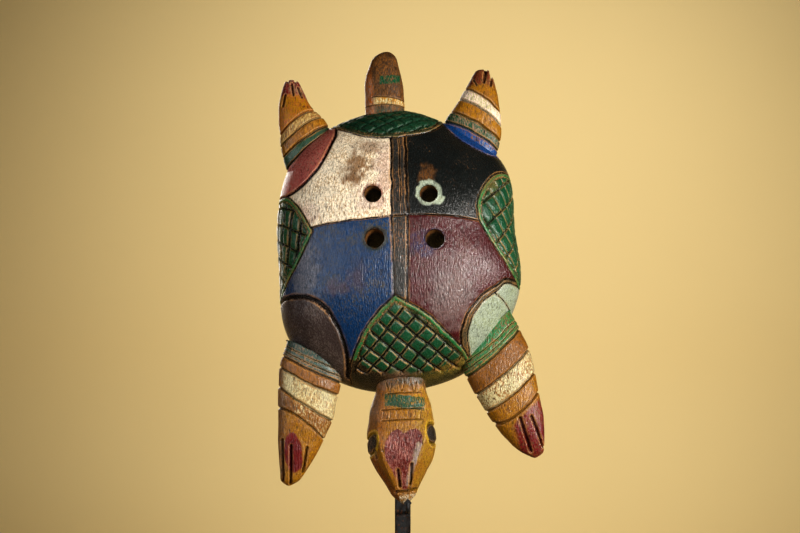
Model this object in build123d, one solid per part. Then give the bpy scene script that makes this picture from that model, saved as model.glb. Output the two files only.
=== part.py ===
"""A carved and painted wooden turtle mask standing on a steel display stand.

The turtle hangs head down. Its carapace is a thick dome, hollowed a little at the back, with four round holes
bored through it at a slant. The head, the tail and the four legs are separate carvings, each let into a
flat-bottomed socket in the carapace rim and held by two glued dowels. A screw eye in the back of the rim drops
over the stand's pin, so the whole mask lifts straight up off it.

Millimetres. +Z is up, the mask faces -Y, and the origin is the middle of the stand's underside.
Shapes of the mask are laid out in its own terms: x across and h above from the middle of the carapace, and p in
front of the flat back of the rim.
"""

import os
from math import cos, pi, radians, sin

from build123d import *

# Where the mask sits on the stand
CARAPACE_X = -5.5  # the middle of the carapace is a little left of the post
CARAPACE_Z = 368.0  # and this high
BACK_Y = 30.0  # the plane of the rim's flat back

# Carapace
OUTLINE_STEP = 20.0  # degrees between the radii below, from +X towards +Z
OUTLINE_RADII = [
    126.5, 130.5, 143.5, 142, 145.5, 147, 146.5, 144, 133,
    126, 131, 147.5, 152, 151.5, 148.5, 147.5, 141, 135.5,
]
DOME_HEIGHT = 92.0
DOME_EXPONENT = 2.4  # 2 would be an ellipse; more gives a flatter top and steeper sides
DOME_LEVELS = [0, 22, 44, 62, 76, 85, 90]
HOLLOW_HALF_WIDTH = 104.0
HOLLOW_HALF_HEIGHT = 116.0
HOLLOW_DEPTH = 36.0
HOLLOW_LEVELS = [0, 9.5, 18, 25, 30, 33.5, 35.3]
OVERRUN = 5.0  # how far a cutting tool runs past the face it opens

# Holes to look through where they open at the front: (x, h, radius)
EYE_HOLES = [(-24.5, 42.5, 8.8), (31.5, 43, 9.2), (-22.5, -3, 9.6), (37.5, -3, 9.6)]
EYE_HOLE_MOUTH = 88.0  # how far in front of the rim's back they open
EYE_HOLE_DRIFT = (0.16, -0.22)  # how far they run in x and in h for each millimetre inwards
STRAP_HOLE_RADIUS = 3.5
STRAP_HOLE_H = 30.0
STRAP_HOLE_P = 12.0
STRAP_CUT_HALF_LENGTH = 200.0  # longer than the carapace is wide

# Flat bottoms of the limbs' sockets: outward direction in degrees, and distance from the carapace's middle
FLATS = {
    "head": (270.0, 136.0),
    "tail": (90.0, 132.0),
    "front_left_leg": (247.0, 134.0),
    "front_right_leg": (312.0, 127.0),
    "rear_left_leg": (128.5, 128.0),
    "rear_right_leg": (56.5, 127.0),
}
OUTSIDE_BLOCK = 500.0  # the side of a cube that reaches past every limb

# Limbs, as level sections from the root outwards: (h, middle x, half width, middle p, half thickness)
LIMB_SECTIONS = {
    "head": [
        (-118, 3.8, 27, 24, 19),
        (-136, 3.8, 26.5, 24, 19.5),
        (-148, 3.8, 25.8, 24, 19.5),
        (-165, 3.8, 31, 24.5, 20.5),
        (-182, 3.9, 33.9, 25.5, 21.5),
        (-197, 4.3, 35.6, 26, 22),
        (-216, 4.3, 33, 26, 21),
        (-231, 4.4, 25.8, 26, 18.5),
        (-246, 5.5, 17, 25.5, 14.5),
        (-257, 6.4, 11.5, 25, 10.5),
        (-264.5, 6.8, 7, 24.5, 7),
    ],
    "tail": [
        (116, -13, 20, 20, 15),
        (140, -13, 21, 20, 15),
        (158, -13.5, 21, 20, 14.5),
        (178, -14.4, 19.4, 20, 13.5),
        (198, -13.5, 13.5, 19.5, 10.5),
        (208, -11, 7, 19, 7),
    ],
    "front_left_leg": [
        (-88, -81, 29, 22.5, 19.5),
        (-105, -84, 31, 22.5, 20),
        (-122, -87.5, 33, 23, 20),
        (-141, -89.2, 32.5, 23, 19.5),
        (-158, -91.6, 30.5, 23, 18.5),
        (-177, -93.2, 28.6, 23, 17),
        (-195, -96.9, 24.6, 23, 15),
        (-213, -100.8, 19.8, 22.5, 12.5),
        (-229, -105, 14.5, 22, 10),
        (-240, -108.5, 9.8, 21.5, 8),
        (-246, -110, 4.5, 21.5, 5),
    ],
    "front_right_leg": [
        (-62, 73, 40, 22.5, 19.5),
        (-85, 84.5, 41, 22.5, 20),
        (-108, 95.8, 39.5, 23, 20),
        (-130, 104, 36.8, 23, 19.5),
        (-147, 109.8, 34.2, 23, 18.5),
        (-163, 116, 31, 22.5, 17),
        (-178, 121.8, 27.6, 22, 15),
        (-192, 127, 22.6, 21.5, 12.5),
        (-204, 132.6, 16.8, 21, 9.5),
        (-213, 137.5, 10.5, 20.5, 7),
        (-218, 139.5, 5, 20.5, 5),
    ],
    "rear_left_leg": [
        (72, -84.5, 28, 21, 18),
        (88, -88, 30, 21, 18.5),
        (104, -92, 29.5, 21, 18.5),
        (119, -95.5, 27.4, 21.5, 18),
        (134, -100, 24, 22, 16.5),
        (148, -107, 17, 22, 14),
        (160, -109.2, 12.4, 22, 11),
        (171, -110.5, 7, 21.5, 7.5),
    ],
    "rear_right_leg": [
        (84, 72, 27, 21, 18),
        (100, 75, 29.5, 21, 18.5),
        (117, 77.3, 31.4, 21, 18.5),
        (133, 79, 29.4, 21.5, 18),
        (149, 83.4, 23, 22, 16.5),
        (162, 86.2, 18.2, 22, 14),
        (174, 88.4, 12.6, 22, 11),
        (183, 89.8, 7, 21.5, 7.5),
    ],
}
LIMB_EXPONENT = 2.3  # of the limbs' rounded sections

# Dowels: middle of the pair (x, h) on the flat, and p
DOWEL_RADIUS = 4.0
DOWEL_IN_CARAPACE = 12.0
DOWEL_IN_LIMB = 21.0
DOWEL_PLACES = {
    "head": (4, -136, 22),
    "tail": (-13, 132, 20),
    "front_left_leg": (-84, -110, 22),
    "front_right_leg": (92, -88, 22),
    "rear_left_leg": (-90, 92, 21),
    "rear_right_leg": (74, 104, 21),
}
DOWEL_HALF_GAP = {"head": 12.0, "tail": 8.5}
LEG_DOWEL_HALF_GAP = 12.5

# Stand
STAND_Y = BACK_Y + 10.0  # axis of the post, rod and pin
FELT_THICKNESS = 1.5
PLATE = (160.0, 130.0, 8.0)
PLATE_CORNER = 8.0
PLATE_CHAMFER = 1.2
FELT_INSET = 2.0
PLATE_TOP = FELT_THICKNESS + PLATE[2]
POST_SIDE = 16.0
POST_TOP = 250.0
POST_CHAMFER = 1.2
SCREW_RADIUS = 3.0
SCREW_HEAD_RADIUS = 6.0
SCREW_HEAD_HEIGHT = 3.3
SCREW_IN_POST = 16.0
SOCKET_DRIVE_RADIUS = 2.3
SOCKET_DRIVE_DEPTH = 2.0
ROD_RADIUS = 5.0
ROD_IN_POST = 20.0
SHOULDER_Z = 491.5  # the screw eye rests here
PIN_RADIUS = 2.5
PIN_TOP = 506.0
PIN_CHAMFER = 1.0

# Screw eye
EYE_WIRE_RADIUS = 1.6
EYE_RING_RADIUS = 5.0  # to the middle of the wire
EYE_Z = 493.4
EYE_IN_WOOD = 14.0

# Prong welded to the post, which runs under the chin and turns up in front of it
PRONG_WIRE_RADIUS = 1.8
PRONG_X = 5.0
PRONG_Z = 96.5
PRONG_REACH = 40.5  # in p, to the middle of the part that turns up
PRONG_TIP_Z = 104.5
PRONG_BEND = 5.0
LEAF_HALF_WIDTH = 4.0
LEAF_LENGTH = 9.5
LEAF_THICKNESS = 1.6


def outline_radius(theta):
    """Radius of the carapace's outline at an angle in radians: the smooth wave through OUTLINE_RADII."""
    count = len(OUTLINE_RADII)
    step = radians(OUTLINE_STEP)
    total = 0.0
    for i, radius in enumerate(OUTLINE_RADII):
        gap = theta - i * step
        if abs(sin(gap / 2)) < 1e-9:
            return radius
        total += radius * sin(count * gap / 2) * cos(gap / 2) / (count * sin(gap / 2))
    return total


def place(x, h, p):
    """A point of the mask in the part's own frame."""
    return Vector(CARAPACE_X + x, BACK_Y - p, CARAPACE_Z + h)


def shrink(level, height):
    """Share of the outline that is left at a level of a dome of that height."""
    return (1 - (level / height) ** DOME_EXPONENT) ** (1 / DOME_EXPONENT)


def dome(radius_at, levels, height, points=36):
    """A closed dome on the back plane, lofted through a smooth outline at each level."""
    sections = []
    for level in levels:
        share = shrink(level, height)
        ring = []
        for i in range(points):
            theta = 2 * pi * i / points
            radius = share * radius_at(theta)
            ring.append(place(radius * cos(theta), radius * sin(theta), level))
        sections.append(Face(Wire(Edge.make_spline(ring, periodic=True))))
    return Solid.make_loft([face.outer_wire() for face in sections])


def hollow_radius(theta):
    """Radius of the oval hollow's outline."""
    across, up = cos(theta) / HOLLOW_HALF_WIDTH, sin(theta) / HOLLOW_HALF_HEIGHT
    return (across**2 + up**2) ** -0.5


def flat_directions(name):
    """Outward normal and sideways direction of a limb's flat."""
    angle = radians(FLATS[name][0])
    return Vector(cos(angle), 0, sin(angle)), Vector(sin(angle), 0, -cos(angle))


def beyond_flat(name):
    """A large block that fills everything outside the bottom of a limb's socket."""
    normal, _ = flat_directions(name)
    middle = place(0, 0, 0) + normal * (FLATS[name][1] + OUTSIDE_BLOCK / 2)
    return Pos(middle) * Rot(0, -FLATS[name][0], 0) * Box(OUTSIDE_BLOCK, OUTSIDE_BLOCK, OUTSIDE_BLOCK)


def limb_blank(name, points=20):
    """A limb lofted through its level sections, running on into the carapace."""
    sections = []
    power = 2 / LIMB_EXPONENT
    for h, x, half_width, p, half_thickness in LIMB_SECTIONS[name]:
        ring = []
        for i in range(points):
            c, s = cos(2 * pi * i / points), sin(2 * pi * i / points)
            across = abs(c) ** power * (1 if c > 0 else -1)
            along = abs(s) ** power * (1 if s > 0 else -1)
            ring.append(place(x + half_width * across, h, p + half_thickness * along))
        sections.append(Wire(Edge.make_spline(ring, periodic=True)))
    return Solid.make_loft(sections)


def dowels(name):
    """The two dowels that cross the bottom of a limb's socket."""
    normal, sideways = flat_directions(name)
    half_gap = DOWEL_HALF_GAP.get(name, LEG_DOWEL_HALF_GAP)
    x, h, p = DOWEL_PLACES[name]
    on_flat = place(x, h, p)
    on_flat += normal * (FLATS[name][1] - (on_flat - place(0, 0, p)).dot(normal))
    made = []
    for side in (-1, 1):
        start = on_flat + sideways * (side * half_gap) - normal * DOWEL_IN_CARAPACE
        plane = Plane(origin=start, z_dir=normal)
        made.append(Solid.make_cylinder(DOWEL_RADIUS, DOWEL_IN_CARAPACE + DOWEL_IN_LIMB, plane))
    return made


def eye_hole(x, h, radius):
    """A slanted round cutter from in front of the dome into the hollow."""
    drift_x, drift_h = EYE_HOLE_DRIFT
    deep = EYE_HOLE_MOUTH - HOLLOW_DEPTH / 2
    shallow = EYE_HOLE_MOUTH - DOME_HEIGHT - OVERRUN
    inner = place(x + drift_x * deep, h + drift_h * deep, EYE_HOLE_MOUTH - deep)
    outer = place(x + drift_x * shallow, h + drift_h * shallow, EYE_HOLE_MOUTH - shallow)
    way = outer - inner
    return Solid.make_cylinder(radius, way.length, Plane(origin=inner, z_dir=way))


def screw_eye():
    """Steel eye whose shank is screwed into the back of the rim and whose ring lies level."""
    middle = Vector(0, STAND_Y, EYE_Z)
    ring = Solid.make_torus(EYE_RING_RADIUS, EYE_WIRE_RADIUS, Plane(origin=middle))
    shank_start = Vector(0, STAND_Y - EYE_RING_RADIUS, EYE_Z)
    length = shank_start.Y - (BACK_Y - EYE_IN_WOOD)
    shank = Solid.make_cylinder(EYE_WIRE_RADIUS, length, Plane(origin=shank_start, z_dir=(0, -1, 0)))
    return ring, shank


def build_mask():
    """Every piece of the mask by name."""
    carapace = dome(outline_radius, DOME_LEVELS, DOME_HEIGHT)
    carapace -= dome(hollow_radius, HOLLOW_LEVELS, HOLLOW_DEPTH)
    parts = {}
    pins = {}
    for name in FLATS:
        limb = limb_blank(name) & beyond_flat(name)
        carapace -= limb
        pins[name] = dowels(name)
        for pin in pins[name]:
            limb -= pin
            carapace -= pin
        parts[name] = limb
    for x, h, radius in EYE_HOLES:
        carapace -= eye_hole(x, h, radius)
    strap_start = Plane(origin=place(-STRAP_CUT_HALF_LENGTH, STRAP_HOLE_H, STRAP_HOLE_P), z_dir=(1, 0, 0))
    carapace -= Solid.make_cylinder(STRAP_HOLE_RADIUS, 2 * STRAP_CUT_HALF_LENGTH, strap_start)
    ring, shank = screw_eye()
    carapace -= shank
    parts["hanging_eye"] = ring + shank
    parts["carapace"] = carapace
    parts["neck_dowels"] = Compound(pins["head"])
    parts["tail_dowels"] = Compound(pins["tail"])
    leg_pins = [pin for name in FLATS if name.endswith("leg") for pin in pins[name]]
    parts["leg_dowels"] = Compound(leg_pins)
    return parts


def build_base():
    """Steel plate, its felt underside and the screw that holds the post."""
    plate = Pos(0, 0, FELT_THICKNESS + PLATE[2] / 2) * Box(*PLATE)
    plate = fillet(plate.edges().filter_by(Axis.Z), PLATE_CORNER)
    plate = chamfer(plate.faces().sort_by(Axis.Z)[-1].edges(), PLATE_CHAMFER)
    felt = Pos(0, 0, FELT_THICKNESS / 2) * Box(
        PLATE[0] - 2 * FELT_INSET, PLATE[1] - 2 * FELT_INSET, FELT_THICKNESS
    )
    felt = fillet(felt.edges().filter_by(Axis.Z), PLATE_CORNER - FELT_INSET)
    under = Plane(origin=(0, STAND_Y, FELT_THICKNESS))
    head = Solid.make_cone(SCREW_HEAD_RADIUS, SCREW_RADIUS, SCREW_HEAD_HEIGHT, under)
    shank = Solid.make_cylinder(SCREW_RADIUS, PLATE[2] + SCREW_IN_POST, under)
    screw = head + shank
    plate -= screw
    screw -= Solid.make_cylinder(SOCKET_DRIVE_RADIUS, SOCKET_DRIVE_DEPTH, under)
    return {"base_plate": plate, "base_felt": felt, "post_screw": screw}


def build_post():
    """Square post, and the rod and pin that rise behind the mask."""
    height = POST_TOP - PLATE_TOP
    post = Pos(0, STAND_Y, PLATE_TOP + height / 2) * Box(POST_SIDE, POST_SIDE, height)
    post = chamfer(post.edges().filter_by(Axis.Z), POST_CHAMFER)
    post = chamfer(post.faces().sort_by(Axis.Z)[-1].edges(), POST_CHAMFER)
    post -= Pos(0, STAND_Y, PLATE_TOP + SCREW_IN_POST / 2) * Cylinder(SCREW_RADIUS, SCREW_IN_POST)
    rod_foot = POST_TOP - ROD_IN_POST
    rod_length = SHOULDER_Z - rod_foot
    rod = Pos(0, STAND_Y, rod_foot + rod_length / 2) * Cylinder(ROD_RADIUS, rod_length)
    post -= rod
    pin_length = PIN_TOP - SHOULDER_Z
    pin = Pos(0, STAND_Y, SHOULDER_Z + pin_length / 2) * Cylinder(PIN_RADIUS, pin_length)
    pin = chamfer(pin.faces().sort_by(Axis.Z)[-1].edges(), PIN_CHAMFER)
    return {"post": post, "hanger_rod": rod + pin}


def build_prong():
    """Wire prong with a small leaf-shaped plate on its upturned tip."""
    post_front = STAND_Y - POST_SIDE / 2
    toe_y = BACK_Y - PRONG_REACH
    start = Vector(PRONG_X, post_front, PRONG_Z)
    toe = Vector(PRONG_X, toe_y, PRONG_Z)
    tip = Vector(PRONG_X, toe_y, PRONG_TIP_Z)
    path = FilletPolyline(start, toe, tip, radius=PRONG_BEND)
    profile = Plane(origin=start, z_dir=toe - start) * Circle(PRONG_WIRE_RADIUS)
    leaf_plane = Plane(origin=tip + Vector(0, LEAF_THICKNESS / 2, 0), x_dir=(1, 0, 0), z_dir=(0, -1, 0))
    half = LEAF_LENGTH / 2
    corners = [(0, -half), (LEAF_HALF_WIDTH, 0), (0, half), (-LEAF_HALF_WIDTH, 0)]
    leaf = extrude(leaf_plane * Polygon(*corners, align=None), LEAF_THICKNESS)
    return {"chin_prong": sweep(profile, path=path) + leaf}


def main():
    os.makedirs("parts", exist_ok=True)
    parts = {**build_mask(), **build_base(), **build_post(), **build_prong()}
    for name, shape in sorted(parts.items()):
        export_step(shape, f"parts/{name}.step")


main()
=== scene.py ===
"""Looks of the turtle mask and its stand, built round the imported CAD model.

The mask's shapes are laid out in millimetres in its own terms: x across and h above from the middle of the
carapace, and p in front of the flat back of its rim. The carapace's carving is laid out on its surface
unrolled from the middle, as u across and v up, both measured along the wood.
"""

from math import cos, pi, radians, sin

import bpy
import numpy as np
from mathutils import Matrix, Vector


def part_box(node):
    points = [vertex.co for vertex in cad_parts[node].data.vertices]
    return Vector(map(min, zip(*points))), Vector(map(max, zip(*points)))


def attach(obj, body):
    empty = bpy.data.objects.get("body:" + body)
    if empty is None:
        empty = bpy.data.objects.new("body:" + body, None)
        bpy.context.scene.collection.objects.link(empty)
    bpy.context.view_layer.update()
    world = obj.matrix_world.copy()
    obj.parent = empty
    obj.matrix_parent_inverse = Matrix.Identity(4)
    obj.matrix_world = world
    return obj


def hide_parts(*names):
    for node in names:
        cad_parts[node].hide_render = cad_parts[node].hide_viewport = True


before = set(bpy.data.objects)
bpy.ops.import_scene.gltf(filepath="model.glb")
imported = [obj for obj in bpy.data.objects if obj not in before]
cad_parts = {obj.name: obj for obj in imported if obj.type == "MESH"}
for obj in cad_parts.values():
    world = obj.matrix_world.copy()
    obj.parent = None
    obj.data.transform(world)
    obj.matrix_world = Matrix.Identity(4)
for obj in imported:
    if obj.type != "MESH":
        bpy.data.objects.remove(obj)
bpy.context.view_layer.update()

MM = 0.001
CARAPACE_X = -5.5
CARAPACE_Z = 368.0
BACK_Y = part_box("carapace")[1][1] / MM

# Carapace, as in the CAD model, a little smaller so that its raised carving stays inside
OUTLINE_RADII = [
    126.5, 130.5, 143.5, 142, 145.5, 147, 146.5, 144, 133,
    126, 131, 147.5, 152, 151.5, 148.5, 147.5, 141, 135.5,
]
OUTLINE_INSET = 1.2
DOME_HEIGHT = 90.0
DOME_EXPONENT = 2.4
RIM_ROUNDING = 1.6
HOLLOW_HALF_WIDTH = 104.0
HOLLOW_HALF_HEIGHT = 116.0
HOLLOW_DEPTH = 36.0
FRONT_CELLS = 288  # squares across the front sheet's grid
BACK_CELLS = 96  # and across the back sheet's
PROFILE_STEPS = 400  # how finely a profile of the dome is measured
GIRTHS = 24  # how many outline radii it is measured for
NO_LINE = 9.0  # the carve value of wood that is far from any carved line

# Holes to look through where they open at the front: (x, h, radius), and how they slant
EYE_HOLES = [(-24.5, 42.5, 8.8), (31.5, 43, 9.2), (-22.5, -3, 9.6), (37.5, -3, 9.6)]
EYE_HOLE_MOUTH = 88.0
EYE_HOLE_DRIFT = np.array((0.16, -0.22))  # in x and in h for each millimetre inwards


def srgb(red, green, blue):
    """Linear colour of a screen colour given in 0 to 255."""
    made = []
    for value in (red, green, blue):
        share = value / 255
        made.append(share / 12.92 if share <= 0.04045 else ((share + 0.055) / 1.055) ** 2.4)
    return tuple(made)


CREAM = srgb(240, 225, 198)
PINK_WHITE = srgb(228, 202, 184)
BLACK = srgb(22, 25, 24)
BLUE = srgb(6, 50, 90)
MAROON = srgb(68, 14, 20)
LOBE_MAROON = srgb(174, 94, 86)
LOBE_BLUE = srgb(6, 64, 122)
LOBE_GREY = srgb(70, 58, 56)
LOBE_PALE = srgb(152, 162, 144)
GREEN = srgb(20, 72, 46)
BRIGHT_GREEN = srgb(32, 110, 62)
DARK_GREEN = srgb(44, 66, 48)
BAND = srgb(46, 46, 44)
TAN = srgb(176, 132, 84)
BROWN = srgb(112, 74, 38)
EDGE_TAN = srgb(172, 126, 74)
# Near-black, used for dirt, and as painted shade in the bottoms of carved lines and inside the sight holes
DIRT_AND_SHADE = srgb(26, 18, 12)
OCHRE = srgb(160, 110, 20)
OCHRE_BROWN = srgb(132, 84, 22)
ORANGE_BROWN = srgb(158, 88, 30)
GREY_BROWN = srgb(140, 108, 84)
BAND_WHITE = srgb(200, 188, 142)
CLAW_RED = srgb(112, 28, 30)
HEART_RED = srgb(100, 36, 30)
# Pale grey: painted sheen on the blue and maroon fields, and what shows under the heart's pale streak
GREY_WEAR_AND_SHEEN = srgb(150, 142, 138)
RIM_OCHRE = srgb(120, 100, 40)


# ---------------------------------------------------------------- shape helpers


def place(x, h, p):
    """Points of the mask in metres in the part's frame."""
    return np.stack([(CARAPACE_X + x) * MM, (BACK_Y - p) * MM, (CARAPACE_Z + h) * MM], axis=-1)


def outline_radius(theta):
    """Radius of the carapace's outline: the smooth wave through OUTLINE_RADII."""
    count = len(OUTLINE_RADII)
    total = np.zeros_like(theta)
    for i, radius in enumerate(OUTLINE_RADII):
        half = (theta - i * 2 * pi / count) / 2
        near = np.abs(np.sin(half)) < 1e-9
        safe = np.where(near, 1.0, np.sin(half))
        weight = np.sin(count * half) * np.cos(half) / (count * safe)
        total += radius * np.where(near, 1.0, weight)
    return total - OUTLINE_INSET


def hollow_radius(theta):
    """Radius of the oval hollow's outline."""
    return ((np.cos(theta) / HOLLOW_HALF_WIDTH) ** 2 + (np.sin(theta) / HOLLOW_HALF_HEIGHT) ** 2) ** -0.5


def smoothstep(low, high, value):
    """Smooth step from 0 at low to 1 at high."""
    share = np.clip((value - low) / (high - low), 0, 1)
    return share * share * (3 - 2 * share)


def smooth_curve(points, steps=8, closed=False):
    """Catmull-Rom curve through given points."""
    points = np.array(points, dtype=float)
    if closed:
        padded = np.concatenate([points[-1:], points, points[:2]])
    else:
        padded = np.concatenate([2 * points[:1] - points[1:2], points, 2 * points[-1:] - points[-2:-1]])
    made = []
    for i in range(len(padded) - 3):
        a, b, c, d = padded[i:i + 4]
        for step in range(steps):
            t = step / steps
            made.append(0.5 * (2 * b + (c - a) * t + (2 * a - 5 * b + 4 * c - d) * t**2
                               + (3 * b - a - 3 * c + d) * t**3))
    made.append(padded[-2])
    return np.array(made)


def distance_to(points, curve):
    """Distance in the plane from each point to a curve given as short straight pieces."""
    curve = np.asarray(curve, dtype=float)
    nearest = np.full(len(points), 1e9)
    for a, b in zip(curve[:-1], curve[1:]):
        step = b - a
        share = np.clip((points - a) @ step / max(step @ step, 1e-12), 0, 1)
        gap = points - a - share[:, None] * step
        nearest = np.minimum(nearest, np.einsum("ij,ij->i", gap, gap))
    return np.sqrt(nearest)


def inside(points, polygon):
    """Whether each point of the plane lies inside a closed polygon."""
    x, y = points[:, 0], points[:, 1]
    found = np.zeros(len(points), dtype=bool)
    for (ax, ay), (bx, by) in zip(polygon, np.roll(polygon, -1, axis=0)):
        crosses = (ay > y) != (by > y)
        span = by - ay if abs(by - ay) > 1e-12 else 1e-12
        found ^= crosses & (x < (bx - ax) * (y - ay) / span + ax)
    return found


class Noise:
    """Smooth seeded noise of the plane, between -1 and 1; it repeats after SIDE cells each way."""

    SIDE = 64

    def __init__(self, seed):
        self.table = np.random.default_rng(seed).uniform(-1, 1, (self.SIDE, self.SIDE))

    def __call__(self, points, size):
        scaled = points / size
        cell = np.floor(scaled).astype(int)
        share = scaled - cell
        share = share * share * (3 - 2 * share)
        i, j = cell[:, 0] % self.SIDE, cell[:, 1] % self.SIDE
        k, m = (i + 1) % self.SIDE, (j + 1) % self.SIDE
        low = self.table[i, j] * (1 - share[:, 0]) + self.table[k, j] * share[:, 0]
        high = self.table[i, m] * (1 - share[:, 0]) + self.table[k, m] * share[:, 0]
        return low * (1 - share[:, 1]) + high * share[:, 1]


hand = Noise(7)  # the wander of lines cut and paint laid by hand


def wander(points, size, shift, reach):
    """Points moved a little, as a hand-cut line strays from the line meant."""
    return points + np.stack([hand(points, size), hand(points + shift, size)], axis=1) * reach


def blot(points, centre, size):
    """Soft ragged spot, from 1 in its middle to 0 outside."""
    gap = np.hypot((points[:, 0] - centre[0]) / size[0], (points[:, 1] - centre[1]) / size[1])
    return smoothstep(1.25, 0.35, gap + 0.35 * hand(points, 5) + 0.2 * hand(points + 50, 2.4))


class Finish:
    """What is painted and carved on a surface, one value for each of its points.

    paint is the coat, under is what shows where it is rubbed through, worn is how much is rubbed through, and
    carve is the distance from the nearest carved line, in that line's own half widths. depth is how far the
    surface is cut down along its normal, in millimetres.
    """

    LAYERS = ("paint", "under", "worn", "carve")

    def __init__(self, count, paint, under, worn):
        self.paint = np.tile(np.array(paint), (count, 1))
        self.under = np.tile(np.array(under), (count, 1))
        self.worn = np.full(count, float(worn))
        self.carve = np.full(count, NO_LINE)
        self.depth = np.zeros(count)

    def coat(self, where, paint, under, worn):
        """Paints the chosen points; where is a yes or no for each point, or a share from 0 to 1."""
        share = np.asarray(where, dtype=float)
        self.paint += share[:, None] * (np.array(paint) - self.paint)
        self.under += share[:, None] * (np.array(under) - self.under)
        self.worn += share * (worn - self.worn)

    def groove(self, distance, half_width, depth, where=True):
        """Cuts a V groove and notes it for the material."""
        relative = np.where(where, distance / half_width, NO_LINE)
        self.carve = np.minimum(self.carve, relative)
        self.depth = np.maximum(self.depth, depth * (1 - smoothstep(0, 1.25, relative)))


# ---------------------------------------------------------------- mesh helpers


def new_object(name, points, faces, finish=None):
    """A smooth mesh object in metres with the finish's values on its points."""
    mesh = bpy.data.meshes.new(name)
    mesh.from_pydata(points.tolist(), [], faces)
    mesh.validate()
    mesh.shade_smooth()
    if finish is not None:
        for label, values in (("paint", finish.paint), ("under", finish.under)):
            layer = mesh.attributes.new(label, "FLOAT_COLOR", "POINT")
            colours = np.concatenate([values, np.ones((len(values), 1))], axis=1)
            layer.data.foreach_set("color", colours.ravel())
        for label, values in (("worn", finish.worn), ("carve", finish.carve)):
            layer = mesh.attributes.new(label, "FLOAT", "POINT")
            layer.data.foreach_set("value", values)
    piece = bpy.data.objects.new(name, mesh)
    bpy.context.scene.collection.objects.link(piece)
    return piece


def point_normals(points, faces):
    """Smooth normals of a mesh given as points and faces."""
    mesh = bpy.data.meshes.new("normals")
    mesh.from_pydata(points.tolist(), [], faces)
    made = np.empty(len(points) * 3)
    mesh.vertex_normals.foreach_get("vector", made)
    bpy.data.meshes.remove(mesh)
    return made.reshape(-1, 3)


def disc_grid(cells):
    """Even grid of a disc: its radii from 0 to 1, its angles, and its quads, counterclockwise."""
    side = np.linspace(-1, 1, cells + 1)
    a, b = np.meshgrid(side, side, indexing="xy")
    a, b = a.ravel(), b.ravel()
    wide = np.abs(a) > np.abs(b)
    radius = np.where(wide, a, b)
    safe_a = np.where(wide, a, 1.0)
    safe_b = np.where(wide | (b == 0), 1.0, b)
    theta = np.where(wide, pi / 4 * b / safe_a, pi / 2 - pi / 4 * a / safe_b)
    theta = np.where(radius < 0, theta + pi, theta) % (2 * pi)
    row = cells + 1
    start = (np.arange(cells)[:, None] * row + np.arange(cells)[None, :]).ravel()
    quads = np.stack([start, start + 1, start + row + 1, start + row], axis=1)
    return np.abs(radius), theta, quads


def loops_round(quads, removed, angle_of):
    """Points on the edge between kept and removed quads, sorted by angle."""
    kept_points = np.unique(quads[~removed])
    lost_points = np.unique(quads[removed])
    edge = np.intersect1d(kept_points, lost_points)
    return edge[np.argsort(angle_of[edge])]


def stitch(loop_a, angles_a, loop_b, angles_b):
    """Triangles between two loops that run round the same axis, both sorted by angle."""
    faces = []
    i = j = 0
    count_a, count_b = len(loop_a), len(loop_b)
    while i < count_a or j < count_b:
        next_a = angles_a[i % count_a + 1] if i + 1 < count_a else angles_a[0] + 2 * pi
        next_b = angles_b[j % count_b + 1] if j + 1 < count_b else angles_b[0] + 2 * pi
        a, b = loop_a[i % count_a], loop_b[j % count_b]
        if j >= count_b or (i < count_a and next_a <= next_b):
            faces.append((a, loop_a[(i + 1) % count_a], b))
            i += 1
        else:
            faces.append((a, loop_b[(j + 1) % count_b], b))
            j += 1
    return faces


# ---------------------------------------------------------------- materials


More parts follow.
